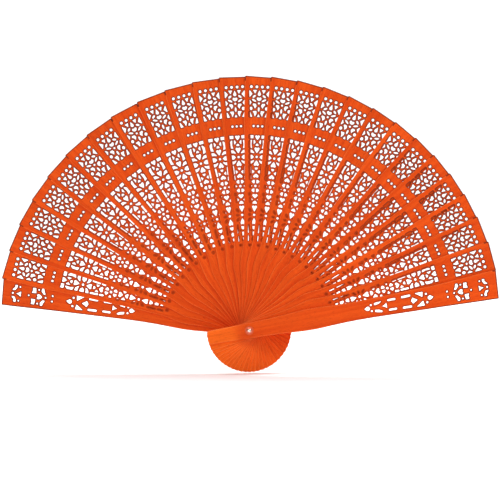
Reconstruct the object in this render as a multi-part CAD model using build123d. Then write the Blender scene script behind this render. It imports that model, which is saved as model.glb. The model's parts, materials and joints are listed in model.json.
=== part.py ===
from build123d import *
import math
import os

# A wooden folding fan: thin pierced sticks between two thicker guards, all turning on one rivet.
# Lengths are in mm and angles in degrees. The rivet's axis is Y, the origin is half way along it,
# +Z is up, and -Y is the side the fan is looked at from. An angle is counted from +X towards +Z.

os.makedirs("parts", exist_ok=True)

# ---------------------------------------------------------------- the open fan
STICK_COUNT = 25  # thin sticks between the two guards
FRONT_ANGLE = 10.4  # the guard nearest the viewer, at the right of the open fan
BACK_ANGLE = 171.4  # the guard furthest from the viewer, at the left
BUNCHING = 3.6  # the sticks in the middle lie this far towards the front guard's side
GUARD_LEAD = 0.25  # the thin sticks as a set sit this far towards the back guard
RIPPLE = 0.4  # their spacing is uneven: they stray by up to this
RIPPLES = 3  # in this many waves from guard to guard

# ---------------------------------------------------------------- the stack along the rivet
STICK_THICKNESS = 0.86
LEVEL_GAP = 0.14  # air between two neighbours
GUARD_THICKNESS = 2.0
LEVEL_PITCH = STICK_THICKNESS + LEVEL_GAP
STACK_THICKNESS = 2 * GUARD_THICKNESS + STICK_COUNT * LEVEL_PITCH + LEVEL_GAP
STACK_FRONT = -STACK_THICKNESS / 2
STACK_BACK = STACK_THICKNESS / 2

# ---------------------------------------------------------------- one thin stick
STICK_TIP = 171.5  # rivet to the middle of the outer end
STICK_TIP_HALF_WIDTH = 10.2
STICK_TIP_SLANT = 0.35  # the uncovered corner stands out and the covered one falls short by this
BUTT = 28.5  # rivet to the butt end that the hand holds
STICK_BUTT_HALF_WIDTH = 5.5
STICK_GRIP_TOP = 10.0  # the grip's straight edges end here
STICK_GRIP_HALF_WIDTH = 5.75
# Distance from the rivet and half width, up the curved edge: shoulder, waist, then the widening leaf.
STICK_EDGE = [(27, 6.1), (37, 7.2), (44, 8.0), (54, 6.9), (66, 6.45), (90, 7.2), (110, 7.9), (138, 9.4)]
STICK_CORNER = 0.8

# ---------------------------------------------------------------- one guard
GUARD_TIP = 170.2
GUARD_TIP_HALF_WIDTH = 9.1
GUARD_TIP_SLANT = 0.7  # the corner beside the sticks stands out by this
GUARD_TIP_COVER = 1.15  # and is wider by this, to reach over the first stick's edge
GUARD_BUTT_HALF_WIDTH = 4.6
GUARD_EDGE = [(0, 5.2), (14, 5.6), (30, 6.6), (43, 7.2), (56, 6.7), (70, 6.3), (101, 6.9), (136, 7.95)]
GUARD_CORNER = 1.6
GUARD_BEVEL = 0.3  # eased edge around the outer face
TIP_FLARE = 0.02  # how fast the half width still grows at the outer end

# ---------------------------------------------------------------- rivet and washers
PIN_RADIUS = 1.25
PIN_CLEARANCE = 0.05  # between the pin and every stick
WASHER_RADIUS = 2.9
WASHER_THICKNESS = 0.35
WASHER_SEAT_RADIUS = 3.0
WASHER_SEAT_DEPTH = 0.15
WASHER_PLAY = 0.03  # between the front washer and the front guard, which turns under it
HEAD_RADIUS = 2.0
HEAD_HEIGHT = 0.95
CAP_SOCKET_DEPTH = 0.45
CAP_CLEARANCE = 0.01

# ---------------------------------------------------------------- ribbon
RIBBON_THICKNESS = 0.08
RIBBON_LOW = 132.1  # in the plain band between the long panel and the dots
RIBBON_HIGH = 134.9
RIBBON_REACH = 7.4  # from the stick's middle line to the end that lies in front of the next stick
RIBBON_HOLD = 8.6  # to the other end, glued across the bare back of a stick
RIBBON_HOLD_ON_GUARD = 7.3

HOLE_CORNER = 0.25  # rounding in the corners of the cut-outs


# ---------------------------------------------------------------- cut-out shapes
# A cut-out is drawn on one stick lying along +Y: u across the stick, v away from the rivet.


def dot(u, v, width, height=None):
    """A round or oval hole."""
    return Pos(u, v) * Ellipse(width / 2, (height or width) / 2)


def leaf(u, v, length, width, turn):
    """An oval lying across the stick, its outer end raised by the turn."""
    return Pos(u, v) * Rot(0, 0, turn) * Ellipse(length / 2, width / 2)


def slot(u, low, high, width, lean=0.0):
    """A long round-ended slot along the stick."""
    return Pos(u, (low + high) / 2) * Rot(0, 0, 90 + lean) * SlotOverall(high - low, width)


def cut_out(*corners, corner=HOLE_CORNER):
    """A straight-sided hole with its corners eased."""
    shape = make_face(Polyline(*corners, close=True))
    return fillet(shape.vertices(), corner)


def arch(flat, crown, width, fullness=0.75, crown_round=0.5):
    """An arched hole on the middle line, flat on one side; a fuller arch has wider flanks."""
    left, right, top = (-width / 2, flat), (width / 2, flat), (0, crown)
    flank, level = width / 2 * fullness, flat + 0.62 * (crown - flat)
    sides = ThreePointArc(right, (flank, level), top) + ThreePointArc(top, (-flank, level), left)
    shape = make_face(Line(left, right) + sides)
    shape = fillet(shape.vertices().sort_by_distance(top)[1:], HOLE_CORNER)
    return fillet(shape.vertices().sort_by_distance(top)[:1], crown_round)


def heart(tip, lobes, width, waist=0.5):
    """A heart on the middle line. Its tip may point either way; the waist draws its sides in."""
    outwards = math.copysign(width, lobes - tip)
    shoulder = (width / 2, lobes - 0.30 * outwards)
    notch = (0, lobes - 0.20 * outwards)
    lobe = (0.27 * width, lobes)
    side = (width / 2 * waist, (tip + shoulder[1]) / 2)
    right = ThreePointArc((0, tip), side, shoulder) + ThreePointArc(shoulder, lobe, notch)
    shape = make_face(right + mirror(right, about=Plane.YZ))
    return fillet(shape.vertices().sort_by_distance((0, tip))[:1], HOLE_CORNER)


def drop(round_end, tip, width):
    """A teardrop on the middle line, round at one end and pointed at the other."""
    radius = width / 2
    sign = math.copysign(1, tip - round_end)
    centre = round_end + sign * radius
    reach = abs(tip - centre)
    spread = math.acos(radius / reach)
    side = (radius * math.sin(spread), centre + sign * radius * math.cos(spread))
    other = (-side[0], side[1])
    bowl = ThreePointArc(side, (0, round_end), other)
    return make_face(bowl + Polyline(other, (0, tip), side))


def both(shape):
    """A cut-out and its twin on the other side of the middle line."""
    return [shape, mirror(shape, about=Plane.YZ)]


# ---------------------------------------------------------------- the thin stick's fretwork


def outer_panel():
    """The short lace panel under the outer end, with its row of four dots."""
    holes = both(dot(1.87, 164.6, 1.9)) + both(dot(5.57, 164.6, 1.9))
    holes += both(cut_out((6.85, 162.5), (6.75, 157.1), (4.6, 159.8)))
    holes += both(cut_out((4.4, 162.5), (1.65, 162.5), (2.85, 159.8)))
    holes += [drop(158.5, 162.4, 2.2)]
    holes += both(leaf(3.4, 158.1, 2.6, 1.4, -38))
    holes += [heart(155.1, 157.5, 3.3, waist=0.8)]
    holes += both(leaf(3.35, 155.4, 3.3, 1.25, 30))
    holes += both(cut_out((6.6, 156.2), (6.4, 151.7), (4.95, 153.9)))
    holes += [dot(0, 153.4, 1.4)]
    bean = cut_out((2.1, 153.2), (3.9, 153.3), (4.3, 152.4), (3.25, 151.3), (2.65, 149.7), (1.45, 151.6))
    holes += both(bean)
    holes += both(dot(5.2, 149.9, 2.0, 2.3))
    holes += [dot(0, 149.4, 1.3, 3.1)]
    holes += both(cut_out((1.5, 148.3), (4.1, 148.1), (3.0, 146.3), (2.5, 144.1), (1.25, 146.7)))
    holes += [cut_out((-1.0, 144.2), (1.0, 144.2), (0, 146.3))]
    holes += both(cut_out((6.3, 147.6), (5.65, 147.6), (4.1, 144.2), (6.2, 144.2)))
    return holes


def middle_dots():
    """Three dots in the plain band that carries the ribbon."""
    return [dot(0, 138.0, 1.5)] + both(dot(2.9, 138.0, 1.5))


def long_panel_top():
    """The long lace panel from its outer end down to the flower."""
    holes = both(cut_out((2.7, 131.8), (5.65, 131.8), (5.6, 129.7), (2.75, 129.7)))
    holes += [heart(128.6, 131.8, 3.15, waist=0.6)]
    holes += both(cut_out((2.0, 128.7), (2.55, 128.5), (2.4, 125.5), (1.0, 127.2)))
    handle = cut_out((3.6, 128.6), (4.4, 128.6), (5.5, 127.3), (5.3, 123.5), (3.2, 122.9), (3.85, 125.4))
    holes += both(handle)
    holes += [arch(124.7, 126.3, 2.1)]
    holes += [heart(119.7, 123.6, 3.4, waist=0.58)]
    upper_petal = cut_out((5.1, 122.1), (3.3, 121.9), (2.1, 120.6), (1.5, 119.5), (3.6, 120.0), (5.0, 120.0))
    holes += both(upper_petal)
    holes += both(cut_out((4.95, 118.7), (3.1, 118.4), (1.85, 117.1), (3.1, 115.8), (4.85, 115.6)))
    holes += [dot(0, 117.2, 1.6)]
    lower_petal = cut_out((1.45, 115.1), (3.3, 114.4), (4.9, 114.4), (4.8, 112.2), (3.3, 112.6), (2.1, 113.7))
    holes += both(lower_petal)
    return holes


def long_panel_middle():
    """The long lace panel from the flower down to the second rosette."""
    holes = [heart(114.9, 111.15, 3.4, waist=0.58)]
    holes += both(slot(4.0, 105.6, 111.4, 1.2, lean=-4))
    holes += [arch(110.0, 108.4, 2.05)]
    holes += both(cut_out((2.65, 108.6), (2.45, 105.7), (0.95, 107.2)))
    holes += [heart(105.9, 103.2, 3.6, waist=0.6)]
    holes += both(slot(3.7, 101.8, 104.8, 1.3, lean=-6))
    for far, near in ((101.6, 99.3), (93.4, 95.7)):
        middle = (far + near) / 2
        holes += both(cut_out((0.55, far), (0.55, near), (1.6, near), (2.7, middle), (1.6, far)))
    holes += [dot(0, 97.5, 1.65)]
    holes += both(cut_out((3.85, 98.6), (3.75, 96.4), (1.95, 97.5)))
    holes += both(dot(3.6, 92.0, 1.2, 1.6))
    return holes


def long_panel_foot():
    """The narrow end of the long lace panel, down to the plain grip."""
    holes = [heart(89.2, 92.0, 3.5, waist=0.6)]
    holes += both(cut_out((3.5, 90.1), (3.4, 86.3), (1.3, 88.3)))
    holes += [arch(85.5, 87.5, 2.95)]
    holes += [heart(80.0, 84.2, 3.3, waist=0.54)]
    holes += both(leaf(2.9, 81.1, 2.5, 0.95, 48))
    holes += both(leaf(3.0, 78.0, 1.7, 0.8, 0))
    holes += both(leaf(2.8, 74.9, 2.4, 0.95, -45))
    holes += [dot(0, 77.9, 1.55)]
    holes += [heart(75.9, 71.6, 3.2, waist=0.54)]
    holes += [arch(70.3, 68.0, 2.6)]
    holes += both(dot(1.65, 67.5, 0.7))
    holes += [arch(64.1, 66.8, 2.6)]
    holes += [arch(60.8, 62.8, 1.8)]
    holes += both(slot(3.4, 65.6, 71.3, 0.6))
    holes += both(slot(3.2, 60.1, 63.8, 0.6))
    holes += both(dot(2.15, 57.5, 1.35))
    return holes


# ---------------------------------------------------------------- the guards' coarser fretwork


def guard_crown():
    """Two corner holes, a triangle and dots at the outer end, then the four-armed rosette."""
    holes = [dot(0, 163.1, 1.3)]
    holes += both(cut_out((2.1, 163.9), (2.2, 161.6), (4.3, 160.4), (5.8, 160.4), (5.7, 162.1), (4.2, 162.0)))
    holes += [cut_out((-2.0, 157.5), (2.0, 157.5), (0.9, 158.7), (0, 160.9), (-0.9, 158.7), corner=0.2)]
    holes += both(dot(4.75, 158.6, 1.1))
    holes += [dot(0, 152.1, 1.1)]
    holes += both(cut_out((2.0, 150.3), (2.2, 147.2), (5.7, 147.7), (5.5, 150.0), (3.9, 149.6)))
    holes += [heart(142.9, 146.4, 3.5, waist=0.7)]
    holes += both(dot(4.75, 145.6, 1.15))
    holes += both(cut_out((2.1, 140.7), (2.0, 142.2), (4.0, 143.9), (5.9, 143.6), (5.8, 142.2), (4.0, 141.7)))
    holes += [dot(0, 140.5, 1.2)]
    holes += both(dot(1.85, 135.9, 1.2))
    return holes


def guard_stem():
    """The long motif: drop, spade, side slots, then the same slots and drop again below."""
    holes = [drop(122.4, 126.2, 2.9)]
    holes += both(dot(2.85, 121.6, 1.45))
    holes += both(cut_out((4.7, 119.6), (4.6, 113.8), (3.6, 115.6), (1.2, 119.0)))
    holes += [cut_out((0, 115.6), (1.2, 113.4), (2.1, 112.2), (0, 110.9), (-2.1, 112.2), (-1.2, 113.4))]
    holes += both(slot(3.65, 104.7, 111.0, 1.45, lean=-2))
    holes += both(slot(3.3, 95.2, 100.8, 1.3))
    holes += [cut_out((-1.8, 94.3), (1.8, 94.3), (0.7, 92.9), (0, 91.0), (-0.7, 92.9), corner=0.2)]
    holes += both(cut_out((1.5, 86.0), (3.1, 86.0), (4.0, 90.2), (3.2, 91.0), (2.0, 88.9)))
    holes += both(dot(2.05, 83.7, 1.3))
    holes += [drop(82.7, 78.9, 2.8)]
    return holes


# ---------------------------------------------------------------- whole outlines


def edge_curve(points, side):
    """One long edge of a stick, through (distance from the rivet, half width) pairs."""
    ends = [(0, 1), (side * TIP_FLARE, 1)]
    return Spline(*[(side * half_width, distance) for distance, half_width in points], tangents=ends)


def stick_outline():
    """A thin stick's outline: straight grip, shoulder, waist and widening leaf."""
    leaf_edges = []
    grips = []
    tips = []
    for side in (-1, 1):
        grip = (side * STICK_GRIP_HALF_WIDTH, STICK_GRIP_TOP)
        butt = (side * STICK_BUTT_HALF_WIDTH, -BUTT)
        tip_distance = STICK_TIP - side * STICK_TIP_SLANT
        points = [(STICK_GRIP_TOP, STICK_GRIP_HALF_WIDTH), *STICK_EDGE, (tip_distance, STICK_TIP_HALF_WIDTH)]
        leaf_edges.append(edge_curve(points, side))
        grips.append(Line(butt, grip))
        tips.append((side * STICK_TIP_HALF_WIDTH, tip_distance))
    butt_end = Line((-STICK_BUTT_HALF_WIDTH, -BUTT), (STICK_BUTT_HALF_WIDTH, -BUTT))
    outline = make_face(butt_end + grips + leaf_edges + [Line(*tips)])
    by_height = outline.vertices().sort_by(Axis.Y)
    return fillet(by_height[:2] + by_height[-2:], STICK_CORNER)


def guard_outline():
    """A guard's outline: the same build as a stick, narrower at the tip and wider at the waist."""
    edges = []
    tips = []
    for side in (-1, 1):
        tip_distance = GUARD_TIP - side * GUARD_TIP_SLANT
        tip_half_width = GUARD_TIP_HALF_WIDTH + (GUARD_TIP_COVER if side < 0 else 0)
        points = [(-BUTT, GUARD_BUTT_HALF_WIDTH), *GUARD_EDGE, (tip_distance, tip_half_width)]
        edges.append(edge_curve(points, side))
        tips.append((side * tip_half_width, tip_distance))
    butt_end = Line((-GUARD_BUTT_HALF_WIDTH, -BUTT), (GUARD_BUTT_HALF_WIDTH, -BUTT))
    outline = make_face(butt_end + edges + [Line(*tips)])
    butt_corners = outline.vertices().sort_by(Axis.Y)[:2]
    return fillet(butt_corners, GUARD_CORNER)


# ---------------------------------------------------------------- solids, lying flat, viewer's side up


def thin_stick():
    """One pierced stick, its back face on the drawing plane."""
    holes = outer_panel() + middle_dots() + long_panel_top() + long_panel_middle() + long_panel_foot()
    holes.append(Circle(PIN_RADIUS + PIN_CLEARANCE))
    return extrude(stick_outline() - holes, STICK_THICKNESS)


def guard():
    """One guard, its inner face on the drawing plane and its outer face up."""
    blank = extrude(guard_outline(), GUARD_THICKNESS)
    outer_edges = blank.faces().sort_by(Axis.Z)[-1].edges()
    eased = chamfer(outer_edges, GUARD_BEVEL)
    holes = guard_crown() + guard_stem() + [Circle(PIN_RADIUS + PIN_CLEARANCE)]
    seat_floor = GUARD_THICKNESS - WASHER_SEAT_DEPTH
    seat = Pos(0, 0, seat_floor) * extrude(Circle(WASHER_SEAT_RADIUS), WASHER_SEAT_DEPTH)
    return eased - extrude(Sketch() + holes, GUARD_THICKNESS) - seat


def ribbon_span(hold):
    """The stretch of ribbon glued behind one stick, held up to here, and reaching the next."""
    width = RIBBON_HIGH - RIBBON_LOW
    middle = Pos((hold - RIBBON_REACH) / 2, (RIBBON_HIGH + RIBBON_LOW) / 2, -RIBBON_THICKNESS)
    return middle * extrude(Rectangle(hold + RIBBON_REACH, width), RIBBON_THICKNESS)


def rivet_head(underside, outwards):
    """A domed rivet head on the rivet's axis; outwards is -1 for the front and +1 for the back."""
    ball_radius = (HEAD_RADIUS**2 + HEAD_HEIGHT**2) / (2 * HEAD_HEIGHT)
    ball = Pos(0, underside + outwards * (HEAD_HEIGHT - ball_radius), 0) * Sphere(ball_radius)
    start, end = sorted((underside, underside + outwards * (HEAD_HEIGHT + 1)))
    return ball & on_axis(HEAD_RADIUS + 1, start, end)


def on_axis(radius, start, end):
    """A round bar along the rivet's axis."""
    return Pos(0, end, 0) * Rot(90, 0, 0) * extrude(Circle(radius), end - start)


def washer(inner_face, outer_face):
    """A flat ring around the rivet."""
    start, end = sorted((inner_face, outer_face))
    return on_axis(WASHER_RADIUS, start, end) - on_axis(PIN_RADIUS + PIN_CLEARANCE, start, end)


# ---------------------------------------------------------------- placing


def stick_angle(number):
    """Where a thin stick points when the fan is open; number 1 is next to the front guard."""
    share = number / (STICK_COUNT + 1)
    even = FRONT_ANGLE + share * (BACK_ANGLE - FRONT_ANGLE)
    uneven = RIPPLE * math.sin(2 * math.pi * RIPPLES * share) - BUNCHING * math.sin(math.pi * share) ** 2
    return even + GUARD_LEAD + uneven


def stood_up(shape, angle, back_face):
    """A flat piece stood up facing the viewer, its back face at the given Y and turned to its angle."""
    return Rot(0, 90 - angle, 0) * Pos(0, back_face, 0) * Rot(90, 0, 0) * shape


def save(node, shape):
    export_step(shape, f"parts/{node}.step")


guard_blank = guard()
stick_blank = thin_stick()
ribbon_blank = ribbon_span(RIBBON_HOLD)

front_guard_back = STACK_FRONT + GUARD_THICKNESS
save("front_guard", stood_up(guard_blank, FRONT_ANGLE, front_guard_back))
save("ribbon_span_01", stood_up(ribbon_span(RIBBON_HOLD_ON_GUARD), FRONT_ANGLE, front_guard_back))

for number in range(1, STICK_COUNT + 1):
    angle = stick_angle(number)
    back_face = front_guard_back + number * LEVEL_PITCH
    save(f"leaf_stick_{number:02d}", stood_up(stick_blank, angle, back_face))
    save(f"ribbon_span_{number + 1:02d}", stood_up(ribbon_blank, angle, back_face))

# The back guard is the same piece turned over, so its outer face looks away from the viewer.
turned_over = Pos(0, 0, GUARD_THICKNESS) * Rot(0, 180, 0) * guard_blank
save("back_guard", stood_up(turned_over, BACK_ANGLE, STACK_BACK))

front_seat = STACK_FRONT + WASHER_SEAT_DEPTH - WASHER_PLAY
back_seat = STACK_BACK - WASHER_SEAT_DEPTH
front_head_underside = front_seat - WASHER_THICKNESS
back_head_underside = back_seat + WASHER_THICKNESS
save("front_washer", washer(front_seat, front_head_underside))
save("back_washer", washer(back_seat, back_head_underside))

pin_front = front_head_underside - CAP_SOCKET_DEPTH
pin = on_axis(PIN_RADIUS, pin_front, back_head_underside)
save("rivet_pin", pin + rivet_head(back_head_underside, 1))
socket = on_axis(PIN_RADIUS + CAP_CLEARANCE, pin_front - CAP_CLEARANCE, front_head_underside)
save("rivet_cap", rivet_head(front_head_underside, -1) - socket)
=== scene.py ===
"""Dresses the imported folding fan: dyed wood, satin ribbon and plated rivet, in a small white studio.

Everything is in metres in the frame's own axes: the rivet lies along Y, the fan opens upwards (+Z) and
its front looks towards -Y. A stick's own directions are across, along (away from the rivet) and Y.
"""

import json
import math
import random

import bmesh
import bpy
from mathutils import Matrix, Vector

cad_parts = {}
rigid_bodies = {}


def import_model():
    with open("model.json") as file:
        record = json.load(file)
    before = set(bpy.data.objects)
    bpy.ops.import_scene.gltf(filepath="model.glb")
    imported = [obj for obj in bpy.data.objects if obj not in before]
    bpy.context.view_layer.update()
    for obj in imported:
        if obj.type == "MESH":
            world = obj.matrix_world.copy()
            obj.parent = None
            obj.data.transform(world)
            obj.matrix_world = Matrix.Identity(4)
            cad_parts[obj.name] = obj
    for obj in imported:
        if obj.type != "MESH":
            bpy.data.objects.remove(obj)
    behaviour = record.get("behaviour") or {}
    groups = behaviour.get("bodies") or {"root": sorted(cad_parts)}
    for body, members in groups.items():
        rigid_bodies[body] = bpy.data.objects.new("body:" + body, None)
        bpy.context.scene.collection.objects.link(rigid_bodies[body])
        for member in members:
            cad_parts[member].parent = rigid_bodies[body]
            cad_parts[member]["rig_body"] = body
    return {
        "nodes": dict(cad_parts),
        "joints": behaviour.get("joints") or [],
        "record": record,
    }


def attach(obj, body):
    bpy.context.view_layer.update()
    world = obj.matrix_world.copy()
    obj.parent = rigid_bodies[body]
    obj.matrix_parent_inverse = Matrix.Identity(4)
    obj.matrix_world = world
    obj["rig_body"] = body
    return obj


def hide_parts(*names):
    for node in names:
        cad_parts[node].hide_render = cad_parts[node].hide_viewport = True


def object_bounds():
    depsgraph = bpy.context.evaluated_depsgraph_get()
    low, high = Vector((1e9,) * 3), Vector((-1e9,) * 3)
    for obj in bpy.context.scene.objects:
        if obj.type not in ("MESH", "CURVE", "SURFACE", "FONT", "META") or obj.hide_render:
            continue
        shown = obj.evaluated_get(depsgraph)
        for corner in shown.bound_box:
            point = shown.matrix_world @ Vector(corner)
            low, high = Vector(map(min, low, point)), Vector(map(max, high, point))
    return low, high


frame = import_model()
cad_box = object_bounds()

MM = 0.001
SEED = 25
draws = random.Random(SEED)


# ---------------------------------------------------------------- where each stick points
def mount_angle(name):
    """The angle from +X at which a guard points, from the mount on its face."""
    place = next(mount["pos_m"] for mount in frame["record"]["mounts"] if mount["name"] == name)
    return math.atan2(place[2], place[0])


def leaf_angles():
    """The angle of every leaf of the open fan, by body name."""
    behaviour = frame["record"]["behaviour"]
    front, back = mount_angle("front_guard_face"), mount_angle("back_guard_face")
    angles = {"front_guard_leaf": front, "back_guard_and_rivet": back}
    followers = {joint["name"]: joint["child"] for joint in frame["joints"]}
    for coupling in behaviour["couplings"]:
        angles[followers[coupling["joint"]]] = back - coupling["ratio"] * (back - front)
    return angles


ANGLE_OF = leaf_angles()


# ---------------------------------------------------------------- node trees
FULL_TURN = 2 * math.pi
MIX_SHARE, MIX_FIRST, MIX_SECOND, MIX_RESULT = 0, 6, 7, 2  # the sockets a Mix node uses for colours
NOISE_LOW, NOISE_HIGH = 0.3, 0.7  # nearly all of a noise lies between these
WALL_SAMPLES = 16
EDGE_SAMPLES = 6
BUMP_STRENGTH = 0.7


def linear_share(share):
    """One share of a colour, from the screen's curve to light."""
    return share / 12.92 if share <= 0.04045 else ((share + 0.055) / 1.055) ** 2.4


def linear(red, green, blue):
    """A colour given in ordinary 0 to 255 values, as the shaders want it."""
    return (*[linear_share(value / 255) for value in (red, green, blue)], 1.0)


class Finish:
    """A material under construction: each call adds a node and returns the output that carries its result."""

    def __init__(self, name):
        self.material = bpy.data.materials.new(name)
        self.material.use_nodes = True
        self.tree = self.material.node_tree
        self.surface = self.tree.nodes["Principled BSDF"]

    def add(self, kind, inputs, output=0, **settings):
        node = self.tree.nodes.new("ShaderNode" + kind)
        for name, value in settings.items():
            setattr(node, name, value)
        for key, value in inputs.items():
            self.feed(node.inputs[key], value)
        return node.outputs[output]

    def feed(self, socket, value):
        if isinstance(value, bpy.types.NodeSocket):
            self.tree.links.new(value, socket)
        else:
            socket.default_value = value

    def maths(self, operation, first, second=0.0):
        return self.add("Math", {0: first, 1: second}, operation=operation)

    def product(self, *values):
        result = values[0]
        for value in values[1:]:
            result = self.maths("MULTIPLY", result, value)
        return result

    def step(self, value, low, high, at_low=0.0, at_high=1.0):
        """A smooth step between two levels of a value."""
        inputs = {"Value": value, "From Min": low, "From Max": high, "To Min": at_low, "To Max": at_high}
        return self.add("MapRange", inputs, interpolation_type="SMOOTHSTEP")

    def mix(self, share, first, second):
        """A colour mixed from two: all first at share 0, all second at 1."""
        inputs = {MIX_SHARE: share, MIX_FIRST: first, MIX_SECOND: second}
        return self.add("Mix", inputs, output=MIX_RESULT, data_type="RGBA")

    def stretched_noise(self, place, per_metre, detail=2.0, distortion=0.0):
        """Noise whose grain has its own number of repeats per metre along each axis."""
        stretched = self.add("VectorMath", {0: place, 1: per_metre}, operation="MULTIPLY")
        inputs = {"Vector": stretched, "Scale": 1.0, "Detail": detail, "Distortion": distortion}
        return self.add("TexNoise", inputs)

    def stick_place(self, angle):
        """Object coordinates turned so that X runs across the stick and Z along it."""
        place = self.add("TexCoord", {}, output="Object")
        return self.add("Mapping", {"Vector": place, "Rotation": (0, angle - math.pi / 2, 0)})

    def rounded_normal(self, radius):
        """The surface direction with every sharp edge eased."""
        return self.add("Bevel", {"Radius": radius}, samples=EDGE_SAMPLES)

    def edge_nearness(self, rounded):
        """1 on a sharp edge, falling to 0 away from it."""
        flat = self.add("NewGeometry", {}, output="Normal")
        alike = self.add("VectorMath", {0: rounded, 1: flat}, output="Value", operation="DOT_PRODUCT")
        on_flat, on_edge = 0.998, 0.93
        return self.step(alike, on_flat, on_edge)

    def wall_nearness(self, reach):
        """1 where cut walls are near, falling to 0 at the reach; a narrow web is near two walls at once."""
        settings = {"samples": WALL_SAMPLES, "inside": True, "only_local": True}
        open_share = self.add("AmbientOcclusion", {"Distance": reach}, output="AO", **settings)
        far_from_walls, at_walls = 0.985, 0.94
        return self.step(open_share, far_from_walls, at_walls)

    def close(self, colour, roughness, height, bump_distance, rounded=None, **others):
        """Connects the finished colour, roughness and surface height to the material."""
        bump_inputs = {"Height": height, "Distance": bump_distance, "Strength": BUMP_STRENGTH}
        if rounded is not None:
            bump_inputs["Normal"] = rounded
        bump = self.add("Bump", bump_inputs)
        settings = {"Base Color": colour, "Roughness": roughness, "Normal": bump, **others}
        for name, value in settings.items():
            self.feed(self.surface.inputs[name], value)
        return self.material


# ---------------------------------------------------------------- dyed wood
DYE_BRIGHT = linear(231, 85, 15)
DYE_DEEP = linear(215, 68, 5)
DYE_IN_PORES = linear(168, 34, 4)
# The butt ends' dye, painted lighter: painted light, not a change in the wood.
PAINTED_BUTT_COLOUR = linear(252, 110, 24)
# Edges coloured lighter: partly rubbed wear, partly a painted highlight.
RUBBED_EDGE_AND_HIGHLIGHT = linear(255, 134, 66)
SCORCHED = linear(126, 44, 20)

# Repeats per metre of the wood's figure: across the stick, through it and along it.
FIBRES = (3200, 3200, 55)
RINGS = (330, 330, 7)
BLOTCHES = (60, 60, 30)
PORES = (5200, 5200, 320)
PORE_EDGE, PORE_MIDDLE = 0.60, 0.70  # levels of the pores' noise

# How strongly each thing colours the wood, as a share of its full colour.
# How much painted light the butt ends get.
BUTT_LIGHT_SHARE = 0.85
FIBRES_DEEPEN = 0.45
PORES_DARKEN = 0.55
LEAST_WEAR_AND_HIGHLIGHT, MOST_WEAR_AND_HIGHLIGHT = 0.3, 0.65  # of an edge's wear and painted highlight, varying at random
# Wear and painted highlight on the edges at the butt ends.
EDGE_WEAR_AND_HIGHLIGHT_AT_BUTTS = 0.9
FINE_CUT_SCORCH = 0.45  # of the fine cuts nearest the grip
PALE_FIBRE_SCORCH = 0.85

# Lightness, as a multiple of the dye's own: within a board, and from one board to another.
BLOTCH_DARKEST, BLOTCH_LIGHTEST = 0.96, 1.04
BOARD_DARKEST, BOARD_LIGHTEST = 0.97, 1.03

# The wood's surface.
GUARD_ROUGHNESS, STICK_ROUGHNESS = 0.42, 0.48  # where the fibres are smoothest; the guards are polished more
FIBRE_ROUGHNESS = 0.12  # added where they are coarsest
PORE_ROUGHNESS = 0.15  # added in the pores
WOOD_SPECULAR = 0.1
GRAIN_RELIEF = 0.03 * MM
RING_RELIEF = 0.4  # as a share of the fibres' own

# Where the laser has been, and where the butt ends carry painted light, as places along the stick from the
# rivet.
FRET_START = 55 * MM
FRET_NARROW = 4.6 * MM  # half width of the fretwork's narrow stretch
FRET_WIDENS_AT = 85 * MM
FRET_SLOPE = 0.041  # how fast the fretwork's half width grows beyond that
TIP_START = 168.5 * MM  # the sawn outer end
HOT_CUTS_FROM, HOT_CUTS_FULL = 75 * MM, 150 * MM  # the finer cuts nearer the grip are burnt less
BUTT_LIGHT_FROM, BUTT_LIGHT_FULL = -4 * MM, -13 * MM  # the butt ends, past the rivet, where light is painted into the dye

# How far each thing reaches into the wood beside it.
SCORCH_REACH = 0.8 * MM  # from a cut wall; less than a stick's thickness
RUB_AND_HIGHLIGHT_RADIUS = 0.9 * MM  # from a rubbed edge that also carries a painted highlight
EASED_RADIUS = 0.6 * MM  # from an edge that sanding has rounded
WALL_FACING = 0.5  # a side wall's normal has less than this along the rivet


def laser_share(finish, across, along, open_side):
    """1 over the laser-cut parts, the fretwork and the outer end, and 0 over the planed grip and sides.

    A guard's open side, which faces out at the end of the open fan, was left as the laser cut it. It is given
    as 1 or -1 across the stick. A thin stick has both sides planed, and its open side is 0.
    """
    if open_side:
        across = finish.product(across, -open_side)
    else:
        across = finish.maths("ABSOLUTE", across)
    widening = finish.maths("MAXIMUM", finish.maths("SUBTRACT", along, FRET_WIDENS_AT))
    limit = finish.maths("ADD", finish.product(widening, FRET_SLOPE), FRET_NARROW)
    inside = finish.maths("LESS_THAN", across, limit)
    beyond_grip = finish.maths("GREATER_THAN", along, FRET_START)
    outer_end = finish.maths("GREATER_THAN", along, TIP_START)
    return finish.maths("MAXIMUM", finish.product(inside, beyond_grip), outer_end)


def wood_figure(finish, place):
    """The wood's own figure: fibres, growth rings, broad blotches and pores."""
    own_part = tuple(draws.uniform(-1, 1) for _ in range(3))
    board = finish.add("VectorMath", {0: place, 1: own_part}, operation="ADD")
    fibres = finish.stretched_noise(board, FIBRES, detail=3.0)
    rings = finish.stretched_noise(board, RINGS, detail=2.0, distortion=0.5)
    blotches = finish.stretched_noise(board, BLOTCHES)
    pores = finish.step(finish.stretched_noise(board, PORES, detail=1.0), PORE_EDGE, PORE_MIDDLE)
    return fibres, rings, blotches, pores


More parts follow.
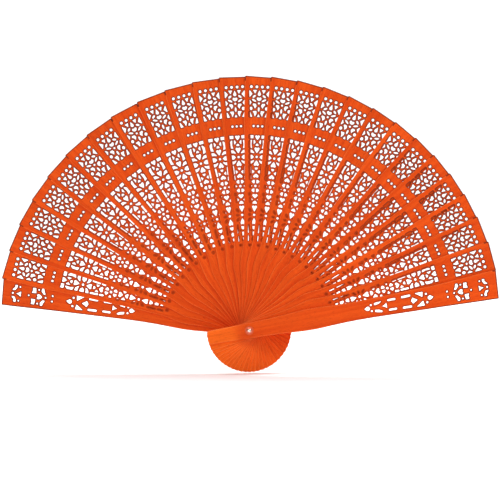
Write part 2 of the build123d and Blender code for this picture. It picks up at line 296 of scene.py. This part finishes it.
def dye_colour(finish, figure, painted_butt_light, tone):
    """The dye on clean wood: deeper in darker rings, fibres and pores, and lighter at the butt ends as
    painted light.
    """
    fibres, rings, blotches, pores = figure
    colour = finish.mix(finish.step(rings, NOISE_LOW, NOISE_HIGH), DYE_BRIGHT, DYE_DEEP)
    colour = finish.mix(finish.product(painted_butt_light, BUTT_LIGHT_SHARE), colour, PAINTED_BUTT_COLOUR)
    deepened = finish.product(finish.step(fibres, 0.35, 0.75), FIBRES_DEEPEN)
    colour = finish.mix(deepened, colour, DYE_DEEP)
    colour = finish.mix(finish.product(pores, PORES_DARKEN), colour, DYE_IN_PORES)
    darkest, lightest = BLOTCH_DARKEST * tone, BLOTCH_LIGHTEST * tone
    lightness = finish.step(blotches, NOISE_LOW, NOISE_HIGH, darkest, lightest)
    return finish.add("HueSaturation", {"Value": lightness, "Color": colour})


def dyed_wood(name, angle, open_side, tone, butt_light_level):
    """Thin close-grained wood, dyed orange and polished, the grain running along the stick.

    The laser leaves the fretwork's cut walls and their rims brown. The stick's own long edges are lighter,
    partly rubbed and partly a painted highlight, most of all at the butt end, whose face carries painted
    light.
    """
    finish = Finish(name)
    place = finish.stick_place(angle)
    axes = finish.add("SeparateXYZ", {0: place}).node.outputs
    along = axes["Z"]
    figure = wood_figure(finish, place)
    fibres, rings, blotches, pores = figure
    # Painted light on the butt ends, less on the sticks further back, which lie in shade.
    painted_butt_light = finish.step(along, BUTT_LIGHT_FROM, BUTT_LIGHT_FULL, at_high=butt_light_level)
    colour = dye_colour(finish, figure, painted_butt_light, tone)

    facing = finish.add("SeparateXYZ", {0: finish.add("TexCoord", {}, output="Normal")}).node.outputs["Y"]
    wall = finish.maths("LESS_THAN", finish.maths("ABSOLUTE", facing), WALL_FACING)
    cut = laser_share(finish, axes["X"], along, open_side)
    heat = finish.step(along, HOT_CUTS_FROM, HOT_CUTS_FULL, at_low=FINE_CUT_SCORCH)
    burnt = finish.maths("MAXIMUM", finish.wall_nearness(SCORCH_REACH), wall)
    uneven = finish.step(fibres, 0.2, 0.6, at_low=PALE_FIBRE_SCORCH)
    colour = finish.mix(finish.product(burnt, cut, heat, uneven), colour, SCORCHED)

    # Edges painted lighter: partly rubbed wear, partly a painted highlight, strongest at the butt ends.
    edge = finish.maths("MAXIMUM", finish.edge_nearness(finish.rounded_normal(RUB_AND_HIGHLIGHT_RADIUS)), wall)
    uneven_wear_and_highlight = finish.step(blotches, NOISE_LOW, NOISE_HIGH, LEAST_WEAR_AND_HIGHLIGHT, MOST_WEAR_AND_HIGHLIGHT)
    wear_and_highlight = finish.maths("MAXIMUM", uneven_wear_and_highlight, finish.product(painted_butt_light, EDGE_WEAR_AND_HIGHLIGHT_AT_BUTTS))
    uncut = finish.maths("SUBTRACT", 1.0, cut)
    colour = finish.mix(finish.product(edge, uncut, wear_and_highlight), colour, RUBBED_EDGE_AND_HIGHLIGHT)

    smoothest = GUARD_ROUGHNESS if open_side else STICK_ROUGHNESS
    roughness = finish.step(fibres, NOISE_LOW, NOISE_HIGH, smoothest, smoothest + FIBRE_ROUGHNESS)
    roughness = finish.maths("ADD", roughness, finish.product(pores, PORE_ROUGHNESS))
    ridges = finish.maths("ADD", fibres, finish.product(rings, RING_RELIEF))
    height = finish.maths("SUBTRACT", ridges, pores)
    eased = finish.rounded_normal(EASED_RADIUS)
    others = {"Specular IOR Level": WOOD_SPECULAR}
    return finish.close(colour, roughness, height, GRAIN_RELIEF, rounded=eased, **others)


def dress_wood():
    """Gives every stick and guard its own board of wood; the butt ends nearest the front get the most painted
    light.
    """
    front, back = ANGLE_OF["front_guard_leaf"], ANGLE_OF["back_guard_and_rivet"]
    open_sides = {"front_guard": 1, "back_guard": -1}
    for node_name, node in frame["nodes"].items():
        if node_name not in open_sides and not node_name.startswith("leaf_stick"):
            continue
        angle = ANGLE_OF[node["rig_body"]]
        tone = draws.uniform(BOARD_DARKEST, BOARD_LIGHTEST)
        # How much painted light a butt end gets: most at the front, less further back where the butts lie in
        # shade.
        butt_light_level = 1 - ((angle - front) / (back - front)) ** 2
        open_side = open_sides.get(node_name, 0)
        use(node, dyed_wood("wood_" + node_name, angle, open_side, tone, butt_light_level))


def use(piece, material):
    """Makes a piece wear one material."""
    piece.data.materials.clear()
    piece.data.materials.append(material)


# ---------------------------------------------------------------- rivet and washers
NICKEL = linear(240, 228, 218)
NICKEL_TARNISH = linear(196, 150, 128)
COPPER = linear(214, 96, 62)
COPPER_TARNISH = linear(150, 74, 56)
COPPER_RIM_FROM, COPPER_RIM_FULL = 0.9 * MM, 1.5 * MM  # from a head's middle out to its rim, over which it turns copper-coloured
COPPER_RIM_SHARE = 0.85  # the share of copper colour at the rim
COPPER_RIM_FRAY = 0.3 * MM  # how unevenly the copper colour begins
TURNING_PITCH = 0.09 * MM
TARNISH, SCRATCHES = (900, 900, 900), (9000, 9000, 700)  # repeats per metre along each axis
TARNISH_ROUGHNESS, SCRATCH_ROUGHNESS = 0.12, 0.15  # added at their strongest
METAL_RELIEF = 0.004 * MM


def plated_metal(name, bright, tarnished, roughness, turned):
    """Plated or plain metal, tarnished, copper-coloured away from the middle and marked by turning."""
    finish = Finish(name)
    place = finish.add("TexCoord", {}, output="Object")
    axes = finish.add("SeparateXYZ", {0: place}).node.outputs
    squares = [finish.product(axes[axis], axes[axis]) for axis in ("X", "Z")]
    from_axis = finish.maths("SQRT", finish.maths("ADD", *squares))
    rings = finish.maths("SINE", finish.product(from_axis, FULL_TURN / TURNING_PITCH))
    tarnish = finish.stretched_noise(place, TARNISH, detail=4.0)
    scratches = finish.stretched_noise(place, SCRATCHES)
    colour = finish.mix(finish.step(tarnish, 0.4, 0.75), bright, tarnished)
    rim_distance = finish.maths("ADD", from_axis, finish.product(tarnish, COPPER_RIM_FRAY))
    # The head turns copper-coloured towards its rim.
    copper_rim = finish.step(rim_distance, COPPER_RIM_FROM, COPPER_RIM_FULL, at_high=COPPER_RIM_SHARE)
    colour = finish.mix(copper_rim, colour, COPPER)
    dulled = finish.product(finish.step(tarnish, 0.45, 0.8), TARNISH_ROUGHNESS)
    scratched = finish.step(scratches, 0.35, 0.7, roughness, roughness + SCRATCH_ROUGHNESS)
    height = finish.maths("ADD", scratches, finish.product(rings, turned))
    return finish.close(colour, finish.maths("ADD", scratched, dulled), height, METAL_RELIEF, Metallic=1.0)


def dress_rivet():
    """Polished nickel rivet heads and duller, copper-coloured washers."""
    polished = plated_metal("polished_nickel", NICKEL, NICKEL_TARNISH, roughness=0.24, turned=0.1)
    pressed = plated_metal("pressed_copper", COPPER, COPPER_TARNISH, roughness=0.34, turned=0.5)
    for node_name in ("rivet_pin", "rivet_cap"):
        use(frame["nodes"][node_name], polished)
    for node_name in ("front_washer", "back_washer"):
        use(frame["nodes"][node_name], pressed)


# ---------------------------------------------------------------- ribbon
SELVEDGE = 0.35 * MM  # width of the thicker woven edge
SELVEDGE_RISE = 0.012 * MM
RIM_SHARE = 0.5  # of the strip's thickness that is left on its very edge
RIPPLE = 0.008 * MM
RIPPLES = 3  # along one span
WARP_THREAD = 0.16 * MM
WEFT_THREAD = 1.7 * WARP_THREAD
LENGTH_STEPS, WIDTH_STEPS = 60, 16  # of one span's mesh

# The darker colour between the threads is painted shade, and the glint on the weft is a painted highlight.
SATIN_SHADE_BETWEEN_THREADS = linear(196, 62, 24)
SATIN_THREAD = linear(240, 104, 52)
SATIN_GLINT = linear(255, 142, 88)
SATIN_FADED = linear(214, 78, 34)
THREAD_WOBBLE, FADING = (900, 900, 900), (150, 150, 150)  # repeats per metre along each axis
WOBBLE_SIZE = 1.5  # in radians of the warp
WEFT_GLINT, MOST_FADED = 0.25, 0.3  # shares of the full colour
ROUGH_BETWEEN_THREADS, ROUGH_ON_THREADS = 0.62, 0.38
THREAD_RELIEF = 0.02 * MM
WEFT_RELIEF = 0.4  # as a share of the warp's own


def satin(name, angle):
    """Woven satin: glossy threads along the ribbon, finer ones across it, with painted shade between the
    threads and a painted glint on the weft.
    """
    finish = Finish(name)
    place = finish.stick_place(angle)
    axes = finish.add("SeparateXYZ", {0: place}).node.outputs
    wobble = finish.stretched_noise(place, THREAD_WOBBLE, detail=1.0)
    warp_turns = finish.product(axes["Z"], FULL_TURN / WARP_THREAD)
    warp_turns = finish.maths("ADD", warp_turns, finish.product(wobble, WOBBLE_SIZE))
    weft_turns = finish.product(axes["X"], FULL_TURN / WEFT_THREAD)
    warp = finish.step(finish.maths("SINE", warp_turns), -1.0, 1.0)
    weft = finish.step(finish.maths("SINE", weft_turns), -1.0, 1.0)
    fade = finish.step(finish.stretched_noise(place, FADING), 0.35, 0.7)
    # Painted shade between the threads.
    colour = finish.mix(warp, SATIN_SHADE_BETWEEN_THREADS, SATIN_THREAD)
    # Painted glint on the weft.
    colour = finish.mix(finish.product(weft, WEFT_GLINT), colour, SATIN_GLINT)
    colour = finish.mix(finish.product(fade, MOST_FADED), colour, SATIN_FADED)
    roughness = finish.step(warp, 0.0, 1.0, ROUGH_BETWEEN_THREADS, ROUGH_ON_THREADS)
    height = finish.maths("ADD", warp, finish.product(weft, WEFT_RELIEF))
    others = {"Sheen Weight": 0.4, "Sheen Roughness": 0.4, "Anisotropic": 0.5}
    return finish.close(colour, roughness, height, THREAD_RELIEF, **others)


def stick_axes(angle):
    """The across and along directions of a stick that points at this angle."""
    along = Vector((math.cos(angle), 0, math.sin(angle)))
    across = Vector((math.sin(angle), 0, -math.cos(angle)))
    return across, along


def span_room(node_name, across, along):
    """The room that a span's CAD stand-in takes: its two ends across, along and through the fan."""
    corners = [vertex.co for vertex in frame["nodes"][node_name].data.vertices]
    places = [(corner.dot(across), corner.dot(along), corner.y) for corner in corners]
    return [(min(values), max(values)) for values in zip(*places)]


def strip_half_thickness(from_edge, plain):
    """Half the strip's thickness at a distance from its long edges: thin rims, then thicker selvedges."""
    if from_edge <= 0:
        return plain * RIM_SHARE
    if from_edge < SELVEDGE:
        return plain + SELVEDGE_RISE
    return plain


def strip_sheet(mesh, room, across, along, side):
    """Rows of points over one face of a strip: side is -1 for its front and 1 for its back."""
    (start, end), (low, high), (front, back) = room
    middle, plain = (front + back) / 2, (back - front) / 2
    rows = []
    for i in range(LENGTH_STEPS + 1):
        u = start + (end - start) * i / LENGTH_STEPS
        ripple = RIPPLE * math.sin(FULL_TURN * RIPPLES * i / LENGTH_STEPS)
        row = []
        for j in range(WIDTH_STEPS + 1):
            v = low + (high - low) * j / WIDTH_STEPS
            rise = side * strip_half_thickness(min(v - low, high - v), plain)
            depth = Vector((0, middle + ripple + rise, 0))
            row.append(mesh.verts.new(across * u + along * v + depth))
        rows.append(row)
    return rows


def join_sheets(mesh, front_rows, back_rows):
    """Faces over the front and back of a strip and round its rim."""
    for i in range(LENGTH_STEPS):
        for j in range(WIDTH_STEPS):
            quad = [(i, j), (i + 1, j), (i + 1, j + 1), (i, j + 1)]
            mesh.faces.new([front_rows[a][b] for a, b in quad])
            mesh.faces.new([back_rows[a][b] for a, b in reversed(quad)])
    rim = [(i, 0) for i in range(LENGTH_STEPS)]
    rim += [(LENGTH_STEPS, j) for j in range(WIDTH_STEPS)]
    rim += [(i, WIDTH_STEPS) for i in range(LENGTH_STEPS, 0, -1)]
    rim += [(0, j) for j in range(WIDTH_STEPS, 0, -1)]
    for (a, b), (c, d) in zip(rim, rim[1:] + rim[:1]):
        mesh.faces.new([front_rows[a][b], back_rows[a][b], back_rows[c][d], front_rows[c][d]])
    bmesh.ops.recalc_face_normals(mesh, faces=mesh.faces)


def ribbon_strip(node_name, body):
    """One span of ribbon in the place of its CAD stand-in: a thin woven strip with thicker selvedges."""
    angle = ANGLE_OF[body]
    across, along = stick_axes(angle)
    room = span_room(node_name, across, along)
    mesh = bmesh.new()
    front_rows, back_rows = [strip_sheet(mesh, room, across, along, side) for side in (-1, 1)]
    join_sheets(mesh, front_rows, back_rows)
    data = bpy.data.meshes.new(node_name.replace("span", "strip"))
    mesh.to_mesh(data)
    mesh.free()
    data.shade_smooth()
    strip = bpy.data.objects.new(data.name, data)
    bpy.context.scene.collection.objects.link(strip)
    use(strip, satin("satin_" + strip.name, angle))
    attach(strip, body)
    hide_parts(node_name)


def dress_ribbon():
    """Puts a woven strip in the place of every span."""
    for body, members in frame["record"]["behaviour"]["bodies"].items():
        for node_name in members:
            if node_name.startswith("ribbon_span"):
                ribbon_strip(node_name, body)


# ---------------------------------------------------------------- studio
FLOOR_GAP = 1.0 * MM  # the butt ends swing just clear of the floor
STUDIO_HALF_WIDTH = 1.2  # the paper ends where it is still lit plain white
STUDIO_FRONT = -1.2
STUDIO_BACK = 5.0
STUDIO_CURVE = 1.2  # the radius in which the floor turns up into the back wall
CURVE_STEPS = 24
STUDIO_HEIGHT = 4.0
ROOM_GLOW = 0.3  # the surroundings' light on the fan, as a share of the white that the camera sees
PAPER_FIBRES = (400, 400, 400)  # repeats per metre along each axis

CAMERA_DISTANCE = 2.4
CAMERA_RISE = math.radians(1.5)
HALF_VIEW = 169.5 * MM  # half the picture's width at the fan
VIEW_CENTRE = Vector((0.5 * MM, 0, 54 * MM))
SENSOR_WIDTH = 36


def paper(name):
    """Seamless white paper with a very faint mottle."""
    finish = Finish(name)
    place = finish.add("TexCoord", {}, output="Object")
    fibre = finish.stretched_noise(place, PAPER_FIBRES, detail=4.0)
    colour = finish.mix(fibre, linear(246, 246, 246), linear(250, 250, 250))
    return finish.close(colour, roughness=0.9, height=fibre, bump_distance=0.02 * MM)


def studio_backdrop(floor_level):
    """A floor that curves up into a back wall."""
    profile = [(STUDIO_FRONT, 0.0)]
    for i in range(CURVE_STEPS + 1):
        turn = i / CURVE_STEPS * math.pi / 2
        reach = STUDIO_BACK - STUDIO_CURVE + STUDIO_CURVE * math.sin(turn)
        profile.append((reach, STUDIO_CURVE * (1 - math.cos(turn))))
    profile.append((STUDIO_BACK, STUDIO_HEIGHT))
    points = [(side * STUDIO_HALF_WIDTH, y, floor_level + z) for y, z in profile for side in (-1, 1)]
    faces = [(2 * i, 2 * i + 1, 2 * i + 3, 2 * i + 2) for i in range(len(profile) - 1)]
    data = bpy.data.meshes.new("studio_paper")
    data.from_pydata(points, [], faces)
    data.shade_smooth()
    backdrop = bpy.data.objects.new("studio_paper", data)
    bpy.context.scene.collection.objects.link(backdrop)
    use(backdrop, paper("white_paper"))


def soft_light(name, place, aim, size, power):
    """A square soft box that looks at a point."""
    data = bpy.data.lights.new(name, "AREA")
    data.size = size
    data.energy = power
    lamp = bpy.data.objects.new(name, data)
    lamp.location = place
    lamp.rotation_euler = (Vector(aim) - Vector(place)).to_track_quat("-Z", "Y").to_euler()
    bpy.context.scene.collection.objects.link(lamp)


def studio_lights():
    """A key from the upper right, a front fill, a box over the floor and a wash on the back wall."""
    fan_middle = (0, 0, 70 * MM)
    soft_light("key", place=(1.0, -1.2, 1.0), aim=fan_middle, size=0.35, power=7.8)
    soft_light("fill", place=(-0.5, -1.8, 0.3), aim=fan_middle, size=1.1, power=5)
    soft_light("overhead", place=(0, 0.45, 1.5), aim=(0, 0.2, 0), size=2.4, power=45)
    soft_light("paper_wash", place=(0, 2.2, 3.4), aim=(0, 4.4, 0.4), size=2.5, power=130)


def studio_air():
    """Dim white surroundings that the camera itself sees as plain white."""
    world = bpy.data.worlds.new("studio_air")
    world.use_nodes = True
    tree = world.node_tree
    background = tree.nodes["Background"]
    background.inputs["Color"].default_value = (1, 1, 1, 1)
    ray = tree.nodes.new("ShaderNodeLightPath")
    strength = tree.nodes.new("ShaderNodeMapRange")
    strength.inputs["To Min"].default_value = ROOM_GLOW
    tree.links.new(ray.outputs["Is Camera Ray"], strength.inputs["Value"])
    tree.links.new(strength.outputs[0], background.inputs["Strength"])
    bpy.context.scene.world = world


def studio_camera():
    """Square on to the fan, from far enough away to see its layers without much perspective."""
    data = bpy.data.cameras.new("camera")
    data.sensor_width = SENSOR_WIDTH
    data.lens = SENSOR_WIDTH / 2 * CAMERA_DISTANCE / HALF_VIEW
    camera = bpy.data.objects.new("camera", data)
    from_centre = Vector((0, -math.cos(CAMERA_RISE), math.sin(CAMERA_RISE)))
    camera.location = VIEW_CENTRE + CAMERA_DISTANCE * from_centre
    camera.rotation_euler = (math.pi / 2 - CAMERA_RISE, 0, 0)
    bpy.context.scene.collection.objects.link(camera)
    bpy.context.scene.camera = camera
    bpy.context.scene.view_settings.view_transform = "Standard"


dress_wood()
dress_rivet()
dress_ribbon()
studio_backdrop(cad_box[0].z - FLOOR_GAP)
studio_lights()
studio_air()
studio_camera()
